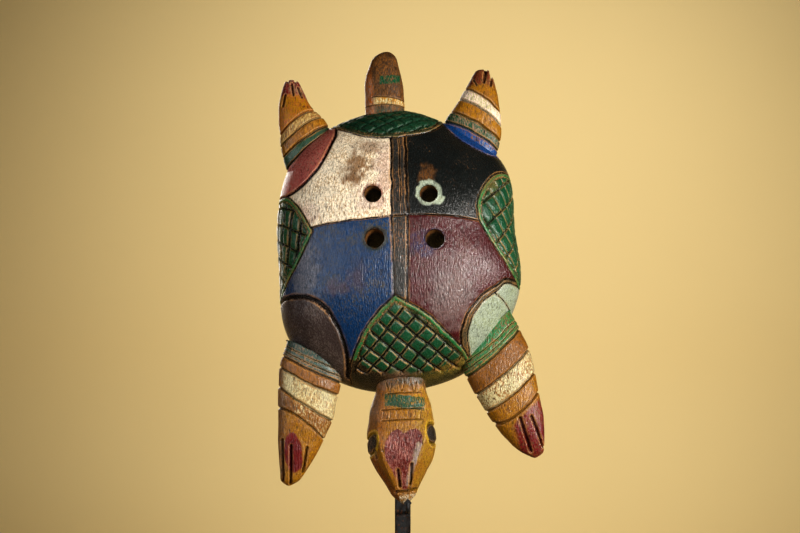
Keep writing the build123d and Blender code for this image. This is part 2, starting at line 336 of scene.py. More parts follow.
class Shader:
    """Shorthand for building one node material."""

    def __init__(self, name):
        self.material = bpy.data.materials.new(name)
        self.material.use_nodes = True
        self.tree = self.material.node_tree
        self.tree.nodes.clear()
        self.output = self.add("ShaderNodeOutputMaterial")
        self.surface = self.add("ShaderNodeBsdfPrincipled")
        self.join(self.surface.outputs["BSDF"], self.output.inputs["Surface"])
        self.place = self.add("ShaderNodeTexCoord").outputs["Object"]

    def add(self, kind, **settings):
        node = self.tree.nodes.new(kind)
        for name, value in settings.items():
            setattr(node, name, value)
        return node

    def join(self, source, target):
        if hasattr(source, "is_output"):
            self.tree.links.new(source, target)
        else:
            target.default_value = source

    def set(self, label, value):
        """Joins a value or a number to one input of the surface."""
        self.join(value, self.surface.inputs[label])

    def attribute(self, name, colour=False):
        node = self.add("ShaderNodeAttribute", attribute_name=name)
        return node.outputs["Color" if colour else "Fac"]

    def math(self, operation, a, b=0.0):
        node = self.add("ShaderNodeMath", operation=operation)
        self.join(a, node.inputs[0])
        self.join(b, node.inputs[1])
        return node.outputs[0]

    def ramp(self, value, low, high, out_low=0.0, out_high=1.0):
        """Smooth step of a value from low to high."""
        node = self.add("ShaderNodeMapRange", interpolation_type="SMOOTHSTEP")
        self.join(value, node.inputs["Value"])
        limits = (("From Min", low), ("From Max", high), ("To Min", out_low), ("To Max", out_high))
        for label, number in limits:
            self.join(number, node.inputs[label])
        return node.outputs["Result"]

    def mix(self, share, a, b):
        node = self.add("ShaderNodeMix", data_type="RGBA")
        self.join(share, node.inputs["Factor"])
        for source, target in ((a, node.inputs[6]), (b, node.inputs[7])):
            if isinstance(source, tuple):
                source = (*source, 1.0)
            self.join(source, target)
        return node.outputs[2]

    def noise(self, size, detail=2.0, roughness=0.5, stretch=(1, 1, 1)):
        """Noise whose features measure about size millimetres, longer along each axis by stretch."""
        mapping = self.add("ShaderNodeMapping")
        self.join(self.place, mapping.inputs["Vector"])
        mapping.inputs["Scale"].default_value = [1 / (size * MM * each) for each in stretch]
        node = self.add("ShaderNodeTexNoise")
        self.join(mapping.outputs["Vector"], node.inputs["Vector"])
        node.inputs["Scale"].default_value = 1.0
        node.inputs["Detail"].default_value = detail
        node.inputs["Roughness"].default_value = roughness
        return node.outputs["Fac"]

    def bump(self, height, distance, after=None):
        """Bump of a height from 0 to 1 that stands for the given millimetres."""
        node = self.add("ShaderNodeBump")
        node.inputs["Strength"].default_value = 1.0
        node.inputs["Distance"].default_value = distance * MM
        self.join(height, node.inputs["Height"])
        if after is not None:
            self.join(after, node.inputs["Normal"])
        return node.outputs["Normal"]


CHISEL_DEPTH = 0.8


def carved_paint(name, dirt_and_shade, dullness, edge_wear):
    """Waxed old paint on carved wood, with the grain along Z.

    dirt_and_shade is how much dirt and painted shade darken the bottoms of the carved lines, dullness is the
    middle of the roughness, and edge_wear is the least and the most that the lines' edges are rubbed to the
    wood.
    """
    shader = Shader(name)
    paint = shader.attribute("paint", colour=True)
    under = shader.attribute("under", colour=True)
    worn = shader.attribute("worn")
    carve = shader.attribute("carve")
    speckle = shader.noise(2.0, detail=4, roughness=0.72, stretch=(0.6, 0.6, 1.7))
    fine = shader.noise(1.3, detail=3, roughness=0.7, stretch=(0.8, 0.8, 1.2))
    cloud = shader.noise(24, detail=4, roughness=0.6)
    strokes = shader.noise(2.8, detail=2, roughness=0.55, stretch=(0.5, 0.5, 2.6))
    # Coat rubbed through to what lies under it
    bare = shader.math("ADD", shader.math("MULTIPLY", speckle, 1.3), shader.math("MULTIPLY", cloud, 0.5))
    bare = shader.math("ADD", bare, shader.math("MULTIPLY", worn, 0.8))
    rubbed = shader.ramp(bare, 1.14, 1.3)
    colour = shader.mix(rubbed, paint, under)
    # Uneven tone of the paint, broad and fine
    broad = shader.ramp(cloud, 0.3, 0.7, 0.82, 1.14)
    narrow = shader.ramp(fine, 0.3, 0.7, 0.62, 1.34)
    tone = shader.math("MULTIPLY", broad, narrow)
    shade = shader.add("ShaderNodeHueSaturation")
    shader.join(tone, shade.inputs["Value"])
    shader.join(colour, shade.inputs["Color"])
    colour = shade.outputs["Color"]
    # Carved lines: bare edges, and dirt and painted shade in the bottom
    ragged = shader.math("ADD", carve, shader.ramp(speckle, 0.25, 0.75, -0.4, 0.4))
    edge = shader.math("MULTIPLY", shader.ramp(ragged, 0.7, 1.05), shader.ramp(ragged, 1.75, 1.25))
    edge = shader.math("MULTIPLY", edge, shader.ramp(cloud, 0.35, 0.6, *edge_wear))
    colour = shader.mix(edge, colour, EDGE_TAN)
    # Painted shade, with dirt: the bottoms of the carved lines are darkened
    bottom_dirt_and_shade = shader.math("MULTIPLY", shader.ramp(ragged, 0.95, 0.4), dirt_and_shade)
    colour = shader.mix(bottom_dirt_and_shade, colour, DIRT_AND_SHADE)
    # Grime in the low spots of the chisel work
    grime = shader.ramp(strokes, 0.45, 0.3, 0.0, 0.7)
    colour = shader.mix(grime, colour, DIRT_AND_SHADE)
    shader.set("Base Color", colour)
    dull = shader.ramp(speckle, 0.3, 0.7, dullness - 0.1, dullness + 0.14)
    dull = shader.math("ADD", dull, shader.math("MULTIPLY", rubbed, 0.14))
    shader.set("Roughness", dull)
    shader.set("Specular IOR Level", 0.3)
    shader.set("Coat Weight", 0.12)
    shader.set("Coat Roughness", 0.2)
    normal = shader.bump(strokes, CHISEL_DEPTH)
    normal = shader.bump(speckle, 0.35, after=normal)
    groove = shader.ramp(carve, 0.0, 1.1)
    normal = shader.bump(groove, 0.6, after=normal)
    shader.set("Normal", normal)
    shader.set("Coat Normal", normal)
    return shader.material


def old_iron():
    """Dark waxed iron with blue-grey rubbed spots and rust."""
    shader = Shader("old_iron")
    coarse = shader.noise(9, detail=5, roughness=0.65, stretch=(1, 1, 1.5))
    fine = shader.noise(1.6, detail=3, roughness=0.6)
    colour = shader.mix(shader.ramp(coarse, 0.35, 0.7), srgb(34, 27, 22), srgb(50, 52, 54))
    rust = shader.ramp(shader.noise(5, detail=4, roughness=0.7), 0.56, 0.7)
    colour = shader.mix(rust, colour, srgb(104, 62, 34))
    colour = shader.mix(shader.ramp(fine, 0.62, 0.78, 0, 0.5), colour, srgb(112, 116, 118))
    shader.set("Base Color", colour)
    shader.set("Metallic", 0.55)
    shader.set("Roughness", shader.ramp(coarse, 0.3, 0.7, 0.36, 0.6))
    normal = shader.bump(coarse, 0.7)
    normal = shader.bump(fine, 0.2, after=normal)
    shader.set("Normal", normal)
    return shader.material


def plain_steel():
    """Zinc-plated wire with fine drawn lines."""
    shader = Shader("plain_steel")
    lines = shader.noise(0.8, detail=2, stretch=(1, 6, 1))
    colour = shader.mix(lines, srgb(146, 144, 138), srgb(186, 184, 176))
    shader.set("Base Color", colour)
    shader.set("Metallic", 0.9)
    shader.set("Roughness", shader.ramp(lines, 0.3, 0.7, 0.3, 0.45))
    shader.set("Normal", shader.bump(lines, 0.05))
    return shader.material


def felt():
    """Dark green-grey felt."""
    shader = Shader("felt")
    fibre = shader.noise(0.7, detail=4, roughness=0.8)
    colour = shader.mix(fibre, srgb(34, 38, 34), srgb(66, 72, 64))
    shader.set("Base Color", colour)
    shader.set("Roughness", 0.95)
    shader.set("Normal", shader.bump(fibre, 0.4))
    return shader.material


def bare_wood():
    """Pale turned dowel wood with end grain."""
    shader = Shader("bare_wood")
    grain = shader.noise(1.2, detail=3, stretch=(1, 1, 7))
    colour = shader.mix(grain, srgb(150, 112, 70), srgb(206, 170, 122))
    shader.set("Base Color", colour)
    shader.set("Roughness", 0.7)
    shader.set("Normal", shader.bump(grain, 0.15))
    return shader.material


# ---------------------------------------------------------------- carapace carving


# Curves on the unrolled front, as points (u, v)
CROSS = smooth_curve([(-92, 12), (-48, 16), (-6, 20), (10, 21), (54, 21), (88, 19)])
BAND_LEFT = smooth_curve([(-7, 110), (-6, 60), (-6, 20), (-4, -30), (-3, -64)])
BAND_MIDDLE = smooth_curve([(1, 108), (3, 60), (4, 20)])
BAND_RIGHT = smooth_curve([(8, 110), (9, 60), (10, 20), (10, -30), (10, -68)])

LOBE_TOP_LEFT = smooth_curve([
    (-74, 152), (-69, 128), (-70, 110), (-84, 76), (-105, 58), (-128, 54), (-158, 64),
])
LOBE_TOP_RIGHT = smooth_curve([(50, 170), (56, 136), (69, 115), (91, 103), (112, 103), (140, 120)])
LOBE_BOTTOM_LEFT = smooth_curve([
    (-172, -86), (-130, -65), (-99, -61), (-78, -69), (-64, -87), (-56, -110), (-54, -132), (-58, -158),
])
LOBE_BOTTOM_RIGHT = smooth_curve([
    (84, -152), (72, -124), (67, -102), (72, -80), (86, -61), (103, -50), (122, -42), (170, -50),
])
CRACK = smooth_curve([(94, -50), (112, -62), (128, -74), (143, -88)])

PANEL_BOTTOM = np.concatenate([
    smooth_curve([(-3, -60), (-23, -80), (-37, -101), (-48, -126), (-54, -150), (-56, -172)])[::-1],
    smooth_curve([(-3, -60), (28, -77), (49, -96), (70, -116), (82, -132)]),
])
PANEL_LEFT = smooth_curve([
    (-190, 74), (-145, 60), (-123, 51), (-106, 35), (-92, 14), (-90, 4), (-109, -26), (-146, -68),
    (-190, -92),
])
PANEL_RIGHT = smooth_curve([
    (180, 104), (133, 88), (112, 78), (96, 64), (85, 44), (83, 30), (88, 15), (111, -16), (148, -50),
    (185, -62),
])
PANEL_TOP = smooth_curve([
    (-92, 176), (-74, 138), (-40, 113), (-10, 107), (24, 114), (46, 130), (58, 160), (62, 190),
])
PANEL_FOOT = -147.0  # below it the bottom panel runs out into the rim
RIB_WIDTH = 4.4  # the raised green edge of a panel of scales
CHANNEL_END = 6.6  # and where the channel inside it ends
FAR = 230.0  # further out than any point of the unrolled front


# Each panel: edge, far corners that close it, angles of its lines, a place where two cross, their spacings,
# and the grooves' half widths
PANELS = (
    (PANEL_BOTTOM, [(95, -FAR), (-60, -FAR)], (-41, 52), (7, -71), (14.2, 14.4), (1.45, 1.35)),
    (PANEL_LEFT, [(-FAR, -92), (-FAR, 74)], (-22, 78), (-109, -12), (20.0, 15.6), (1.0, 2.6)),
    (PANEL_RIGHT, [(FAR, -62), (FAR, 104)], (-47, 43), (97, 16), (13.5, 20.5), (0.9, 1.1)),
    (PANEL_TOP, [(70, FAR), (-100, FAR)], (-38, 34), (-10, 116), (11.5, 12.5), (1.0, 1.1)),
)
SCALE_CUT = 2.6
SCALE_LIFT = 1.7
PALE_CORNERS = [(FAR, -60), (FAR, -FAR), (90, -FAR)]

# Each lobe: edge, far corners that close it, paint, what is under it, how worn it is, and its groove's half
# width and depth
LOBES = (
    (LOBE_TOP_LEFT, [(-FAR, 90), (-FAR, FAR), (-90, FAR)], LOBE_MAROON, GREY_BROWN, 0.25, 2.4, 2.6),
    (LOBE_TOP_RIGHT, [(FAR, 180), (70, FAR)], LOBE_BLUE, BLACK, 0.25, 1.2, 1.2),
    (LOBE_BOTTOM_LEFT, [(-70, -FAR), (-FAR, -FAR), (-FAR, -100)], LOBE_GREY, srgb(98, 86, 80), 0.3, 2.7, 3.0),
    (LOBE_BOTTOM_RIGHT, PALE_CORNERS, LOBE_PALE, srgb(120, 128, 96), 0.32, 1.5, 1.6),
)


def region(curve, corners):
    """Polygon of a curve closed through far corners."""
    return np.concatenate([curve, np.array(corners, dtype=float)])


def halfway(a, b):
    """Colour half way between two."""
    return tuple((one + other) / 2 for one, other in zip(a, b))


def paint_fields(finish, points):
    """The four fields round the cross, the band down the middle, stains, rubbed places and painted sheen."""
    u, v = points[:, 0], points[:, 1]
    above = v > np.interp(u, CROSS[:, 0], CROSS[:, 1])
    left = u <= np.interp(-v, -BAND_LEFT[:, 1], BAND_LEFT[:, 0])
    right = u > np.interp(-v, -BAND_RIGHT[:, 1], BAND_RIGHT[:, 0])
    cream, black, blue, maroon = above & left, above & right, ~above & left, ~above & right
    for field, paint, under, worn in (
        (black, BLACK, BROWN, 0.08), (blue, BLUE, srgb(56, 54, 48), 0.28),
        (maroon, MAROON, srgb(84, 58, 50), 0.26), (~left & ~right, BAND, BROWN, 0.22),
    ):
        finish.coat(field, paint, under, worn)
    for field, centre, size, share, paint, under, worn in (
        (cream, (-42, 76), (16, 12), 0.75, BROWN, BROWN, 0.45),
        (cream, (-46, 60), (15, 8), 0.85, BROWN, BROWN, 0.45),
        (cream, (-30, 96), (18, 10), 0.6, GREY_BROWN, halfway(GREY_BROWN, BROWN), 0.45),
        (cream, (-14, 60), (9, 40), 0.8, PINK_WHITE, halfway(PINK_WHITE, BROWN), 0.45),
        (cream, (-28, 40), (16, 16), 0.7, PINK_WHITE, halfway(PINK_WHITE, BROWN), 0.45),
        (cream, (-100, 26), (18, 14), 0.7, PINK_WHITE, halfway(PINK_WHITE, BROWN), 0.45),
        (blue, (-60, -52), (14, 10), 0.35, BROWN, BLUE, 0.4),
        (blue, (-40, -44), (10, 16), 0.3, BROWN, BLUE, 0.4),
        # Painted sheen: a pale grey patch on the blue field's left bulge
        (blue, (-98, -34), (18, 40), 0.45, GREY_WEAR_AND_SHEEN, BLUE, 0.4),
        (black, (30, 64), (9, 12), 0.8, BROWN, BLACK, 0.45),
        (maroon, (28, -8), (16, 14), 0.65, BLUE, MAROON, 0.4),
        # Painted highlight: a pale grey patch low on the right of the maroon field
        (maroon, (56, -66), (26, 34), 0.3, GREY_WEAR_AND_SHEEN, MAROON, 0.45),
    ):
        finish.coat(share * blot(points, centre, size) * field, paint, under, worn)


def carve_lobes(finish, points, strayed):
    """The four corner lobes, raised behind deep grooves; gives which points they take."""
    taken = np.zeros(len(points), dtype=bool)
    for curve, corners, paint, under, worn, width, depth in LOBES:
        within = inside(strayed, region(curve, corners))
        edge = distance_to(strayed, curve)
        finish.carve = np.where(within, NO_LINE, finish.carve)
        finish.depth = np.where(within, 0.0, finish.depth)
        finish.coat(within, paint, under, worn)
        finish.groove(edge, width, depth)
        finish.depth -= 1.3 * smoothstep(0, 9, edge) * within
        taken |= within
    # The pale lobe has a dark channel inside its edge, and a crack
    pale = inside(strayed, region(LOBE_BOTTOM_RIGHT, PALE_CORNERS))
    edge = distance_to(strayed, LOBE_BOTTOM_RIGHT)
    channel_width = np.interp(points[:, 1], (-130, -60, -40), (8.0, 6.5, 4.0))
    finish.coat(pale & (edge < channel_width), srgb(72, 66, 48), BROWN, 0.3)
    finish.groove(np.abs(edge - channel_width), 1.0, 1.0, pale)
    finish.groove(distance_to(strayed, CRACK), 0.9, 1.0, pale & (edge > channel_width + 1))
    return taken


def carve_scales(finish, points, within, border, angles, crossing, spacings, widths):
    """Carves raised scales in a channel and a rib; border is the distance from the panel's edge."""
    strayed = wander(points, 17, 300, 0.9)
    field = within & (border > CHANNEL_END)
    channel = within & (border > RIB_WIDTH) & (border <= CHANNEL_END)
    rib = within & (border <= RIB_WIDTH)
    across = []
    for angle, spacing, width in zip(angles, spacings, widths):
        normal = np.array([-sin(radians(angle)), cos(radians(angle))])
        offset = ((strayed - np.array(crossing)) @ normal) / spacing
        share = offset - np.floor(offset)
        across.append(share)
        finish.groove(np.minimum(share, 1 - share) * spacing, width, SCALE_CUT, field)
    arches = [np.clip(4 * share * (1 - share), 0, 1) ** 0.5 for share in across]
    pillow = arches[0] * arches[1]
    tilt = (across[0] - 0.5) * 0.7
    finish.depth = np.where(field, finish.depth - SCALE_LIFT * pillow * (1 + tilt) + 1.4, finish.depth)
    finish.depth = np.where(channel, 1.8, finish.depth)
    roll = 1.2 * np.sin(pi * np.clip(border / RIB_WIDTH, 0, 1))
    finish.depth = np.where(rib, finish.depth - roll, finish.depth)
    return field, channel, rib


def carve_panels(finish, points, strayed):
    """The four panels of scales round the rim."""
    for curve, corners, angles, crossing, spacings, widths in PANELS:
        within = inside(strayed, region(curve, corners))
        scale_green, rib_green = GREEN, BRIGHT_GREEN
        if curve is PANEL_BOTTOM:
            within &= strayed[:, 1] > PANEL_FOOT
        edge = distance_to(strayed, curve)
        finish.carve = np.where(within, NO_LINE, finish.carve)
        finish.depth = np.where(within, 0.0, finish.depth)
        field, channel, rib = carve_scales(finish, points, within, edge, angles, crossing, spacings, widths)
        if curve is PANEL_TOP:  # darker, with cuts filled with dirt and painted shade to their edges
            scale_green, rib_green = srgb(26, 62, 42), DARK_GREEN
            finish.carve = np.where(field & (finish.carve > 0.7), NO_LINE, finish.carve)
        finish.coat(field, scale_green, srgb(84, 80, 52), 0.14)
        finish.coat(channel, srgb(62, 58, 32), TAN, 0.34)
        finish.coat(rib, rib_green, BROWN, 0.3)
        finish.groove(edge, 1.2, 1.4)
        if curve is PANEL_RIGHT:
            right_panel = within
    finish.coat(0.7 * blot(points, (98, 66), (13, 22)) * right_panel, srgb(112, 100, 58), GREEN, 0.4)


def paint_rim(finish, points, level, taken):
    """The rim below the bottom panel, and the turned-under edge all round."""
    u, v = points[:, 0], points[:, 1]
    foot = PANEL_FOOT + 0.06 * (u - 8) ** 2 / 10 + 2 * hand(points, 6)
    below = ~taken & (np.abs(u - 8) < 86) & (v < foot)
    finish.coat(below & (u < 12), srgb(30, 28, 22), srgb(84, 64, 36), 0.3)
    finish.coat(below & (u >= 12), srgb(38, 50, 32), RIM_OCHRE, 0.4)
    finish.coat(0.7 * blot(points, (4, -148), (18, 6)), GREY_BROWN, DIRT_AND_SHADE, 0.5)
    finish.coat(smoothstep(6, 1, level), BROWN, DIRT_AND_SHADE, 0.4)


def dress_holes(finish, points):
    """Dark rings round the holes, a smudge round the third and a pale painted ring round the second."""
    for i, (x, h, radius) in enumerate(EYE_HOLES):
        gap = np.hypot(points[:, 0] - x * 1.01, points[:, 1] - h * 1.03) - radius
        finish.depth = np.maximum(finish.depth, 0.9 * smoothstep(2.2, 0, gap))
        if i == 1:
            ragged = 5.0 + 1.6 * hand(points, 4) + 3.0 * blot(points, (44, 33), (7, 6))
            finish.coat(smoothstep(ragged, ragged - 1.2, gap), LOBE_PALE, srgb(140, 146, 120), 0.3)
            finish.carve = np.where(gap < ragged, NO_LINE, finish.carve)
        elif i == 2:
            finish.coat(0.9 * smoothstep(4.0 + hand(points, 5), 1.0, gap), DARK_GREEN, DIRT_AND_SHADE, 0.6)
        else:
            finish.coat(0.8 * smoothstep(2.2, 0.6, gap), DIRT_AND_SHADE, CLAW_RED if i == 0 else BLUE, 0.5)
        finish.coat(smoothstep(0.6, 0.0, gap), DIRT_AND_SHADE, BROWN, 0.3)


def carve_carapace(points, level):
    """Paint and carving of the carapace's front at unrolled places, with each place's level above the rim."""
    finish = Finish(len(points), CREAM, srgb(176, 148, 110), 0.32)
    strayed = wander(points, 9, 99, 0.7)
    paint_fields(finish, points)
    for line, half_width, depth in (
        (BAND_LEFT, 1.5, 1.5), (BAND_MIDDLE, 0.8, 0.7), (BAND_RIGHT, 1.5, 1.5), (CROSS, 0.9, 0.9),
    ):
        finish.groove(distance_to(strayed, line), half_width, depth)
    taken = carve_lobes(finish, points, strayed)
    carve_panels(finish, points, strayed)
    paint_rim(finish, points, level, taken)
    dress_holes(finish, points)
    return finish


# ---------------------------------------------------------------- carapace shell


WALL_RINGS = (0.04, 0.1, 0.2, 0.4, 0.7, 0.95)  # how far along a hole's wall each ring of points sits
# Deeper in than this share, a hole's wall is painted near-black as painted shade inside the hole
WALL_WEAR_TO_SHADE = 0.15  # nearer its mouth than this the wall is worn to the wood
RIM_CORNER = ((0.4, 0.45), (1.6, 0.0))  # rings of its rounded corner: how far in, and in front of the back


class Sheet:
    """A curved sheet over a disc grid, with some quads cut away."""

    def __init__(self, cells):
        self.radii, self.theta, self.quads = disc_grid(cells)
        self.keep = np.ones(len(self.quads), dtype=bool)
        self.on_rim = self.radii > 0.999

    def shape(self, points, x, h):
        self.points, self.x, self.h = points, x, h

    def rim(self):
        """Points on the outer edge, sorted by angle, and their angles."""
        ids = np.where(self.on_rim)[0]
        ids = ids[np.argsort(self.theta[ids])]
        return ids, self.theta[ids]

    def cut(self, centre, radius):
        """Cuts a round hole and pulls its edge onto the circle; gives the edge's points and their angles."""
        gap = np.hypot(self.x - centre[0], self.h - centre[1])
        turn = np.arctan2(self.h - centre[1], self.x - centre[0])
        removed = (gap[self.quads] < radius).any(axis=1)
        loop = loops_round(self.quads, removed, turn)
        self.keep &= ~removed
        self.points[loop, 0] = (CARAPACE_X + centre[0] + radius * np.cos(turn[loop])) * MM
        self.points[loop, 2] = (CARAPACE_Z + centre[1] + radius * np.sin(turn[loop])) * MM
        return loop, turn[loop]


class Skin:
    """Points and faces of the shell as its sheets, walls and rim are joined."""

    def __init__(self, *blocks):
        self.blocks = list(blocks)
        self.count = sum(len(block) for block in blocks)
        self.faces = []

    def ring(self, points, previous):
        """Adds a ring of points, joins it to the ring before it and gives its numbers."""
        self.blocks.append(points)
        ids = np.arange(self.count, self.count + len(points))
        self.count += len(points)
        for a, b, c, d in zip(previous, np.roll(previous, -1), np.roll(ids, -1), ids):
            self.faces.append((int(a), int(d), int(c), int(b)))
        return ids

    def bridge(self, loop_a, angles_a, loop_b, angles_b):
        """Fills between two loops."""
        for a, b, c in stitch(loop_a, angles_a, loop_b, angles_b):
            self.faces.append((int(a), int(c), int(b)))


def front_sheet():
    """The dome and its finish, with its points spaced evenly along the wood."""
    sheet = Sheet(FRONT_CELLS)
    outline = outline_radius(sheet.theta)
    reach = np.linspace(0, pi / 2, PROFILE_STEPS)
    share = np.cos(reach) ** (2 / DOME_EXPONENT)
    rise = DOME_HEIGHT * np.sin(reach) ** (2 / DOME_EXPONENT)
    # The way along the profile from the middle outwards, for a few outline radii to blend between
    samples = np.linspace(outline.min(), outline.max(), GIRTHS)
    ways = []
    for radius in samples:
        steps = np.hypot(np.diff(radius * share), np.diff(rise))
        ways.append(np.concatenate([np.cumsum(steps[::-1])[::-1], [0]]))
    ways = np.array(ways)
    slot = np.clip((outline - samples[0]) / (samples[1] - samples[0]), 0, GIRTHS - 1.001)
    lower = slot.astype(int)
    blend = slot - lower
    walk = sheet.radii * (ways[lower, 0] * (1 - blend) + ways[lower + 1, 0] * blend)
    angle = np.empty_like(walk)
    for i in range(GIRTHS - 1):
        chosen = lower == i
        low, high = (np.interp(walk[chosen], way[::-1], reach[::-1]) for way in ways[i:i + 2])
        angle[chosen] = low * (1 - blend[chosen]) + high * blend[chosen]
    spread = outline * np.cos(angle) ** (2 / DOME_EXPONENT)
    level = np.maximum(DOME_HEIGHT * np.sin(angle) ** (2 / DOME_EXPONENT), 0)
    x, h = spread * np.cos(sheet.theta), spread * np.sin(sheet.theta)
    unrolled = np.stack([walk * np.cos(sheet.theta), walk * np.sin(sheet.theta)], axis=1)
    finish = carve_carapace(unrolled, level)
    points = place(x, h, level)
    depth = np.where(sheet.on_rim, 0.4, finish.depth) * MM
    points = points - point_normals(points, sheet.quads.tolist()) * depth[:, None]
    points[sheet.on_rim, 1] = (BACK_Y - RIM_ROUNDING) * MM
    sheet.shape(points, x, h)
    return sheet, finish


def back_sheet():
    """The hollow's wall, with gouge marks."""
    sheet = Sheet(BACK_CELLS)
    angle = (1 - sheet.radii) * pi / 2
    spread = hollow_radius(sheet.theta) * np.cos(angle) ** (2 / DOME_EXPONENT)
    level = HOLLOW_DEPTH * np.sin(angle) ** (2 / DOME_EXPONENT)
    points = place(spread * np.cos(sheet.theta), spread * np.sin(sheet.theta), level)
    points[:, 1] += hand(points[:, [0, 2]] / MM, 11) * 0.5 * (sheet.radii < 0.98) * MM
    sheet.shape(points, points[:, 0] / MM - CARAPACE_X, points[:, 2] / MM - CARAPACE_Z)
    return sheet


def bore(skin, front, back, x, h, radius):
    """Bores one slanted hole through both sheets; gives its wall's rings and how far along each sits."""
    mouth = np.array((x, h))
    inner = mouth + EYE_HOLE_DRIFT * (EYE_HOLE_MOUTH - HOLLOW_DEPTH)
    front_loop, front_turn = front.cut(mouth, radius)
    back_loop, back_turn = back.cut(inner, radius)
    top = front.points[front_loop]
    back_y = back.points[back_loop, 1].mean()
    previous = front_loop
    rings = []
    for share in WALL_RINGS:
        ring = top.copy()
        ring[:, 1] += share * (back_y - top[:, 1])
        ring[:, 0] += share * (inner[0] - mouth[0]) * MM
        ring[:, 2] += share * (inner[1] - mouth[1]) * MM
        previous = skin.ring(ring, previous)
        rings.append((previous, share))
    skin.bridge(previous, front_turn, back_loop + len(front.points), back_turn)
    return rings


def close_rim(skin, front, back):
    """The rounded corner and the flat back of the rim."""
    edge, turn = front.rim()
    previous = edge
    for inward, forward in RIM_CORNER:
        ring = front.points[edge].copy()
        ring[:, 0] -= inward * np.cos(turn) * MM
        ring[:, 2] -= inward * np.sin(turn) * MM
        ring[:, 1] = (BACK_Y - forward) * MM
        previous = skin.ring(ring, previous)
    inner, inner_turn = back.rim()
    skin.bridge(previous, turn, inner + len(front.points), inner_turn)


def build_carapace():
    """The shell with its carved front, slanted holes, flat rim and hollow back."""
    front, finish = front_sheet()
    back = back_sheet()
    skin = Skin(front.points, back.points)
    walls = []
    for hole in EYE_HOLES:
        walls += bore(skin, front, back, *hole)
    close_rim(skin, front, back)
    offset = len(front.points)
    faces = skin.faces + front.quads[front.keep].tolist()
    faces += (back.quads[back.keep][:, ::-1] + offset).tolist()
    points = np.concatenate(skin.blocks)

    # Everything behind the front sheet is rough bare wood, darkened by use
    whole = Finish(len(points), srgb(128, 90, 54), srgb(88, 58, 34), 0.5)
    for layer in Finish.LAYERS:
        getattr(whole, layer)[:offset] = getattr(finish, layer)
    # The holes' walls: brown wood near the mouth, and near-black painted shade further in
    for ids, share in walls:
        whole.paint[ids] = srgb(96, 70, 42) if share < WALL_WEAR_TO_SHADE else DIRT_AND_SHADE
        whole.under[ids] = BROWN if share < WALL_WEAR_TO_SHADE else DIRT_AND_SHADE

    # Leave out the points that the holes cut away
    used = np.zeros(len(points), dtype=bool)
    for face in faces:
        used[list(face)] = True
    order = np.cumsum(used) - 1
    faces = [tuple(int(order[i]) for i in face) for face in faces]
    for layer in Finish.LAYERS:
        setattr(whole, layer, getattr(whole, layer)[used])
    piece = new_object("carved_carapace", points[used], faces, whole)
    piece.data.materials.append(carved_paint("shell_paint", 1.0, 0.21, (0.08, 0.62)))
    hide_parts("carapace")
    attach(piece, "mask")


# ---------------------------------------------------------------- limbs

LIMB_EXPONENT = 2.3  # of the limbs' level sections; 2 would be an ellipse
AROUND = 192  # points round a limb
ALONG = 220  # and along it
SOCKET_GAP = 0.6
LIMB_PAINT = carved_paint("limb_paint", 0.55, 0.29, (0.18, 0.75))

# Flat bottoms of the limbs' sockets: outward direction in degrees, and distance from the carapace's middle
FLATS = {
    "head": (270.0, 136.0),
    "tail": (90.0, 132.0),
    "front_left_leg": (247.0, 134.0),
    "front_right_leg": (312.0, 127.0),
    "rear_left_leg": (128.5, 128.0),
    "rear_right_leg": (56.5, 127.0),
}

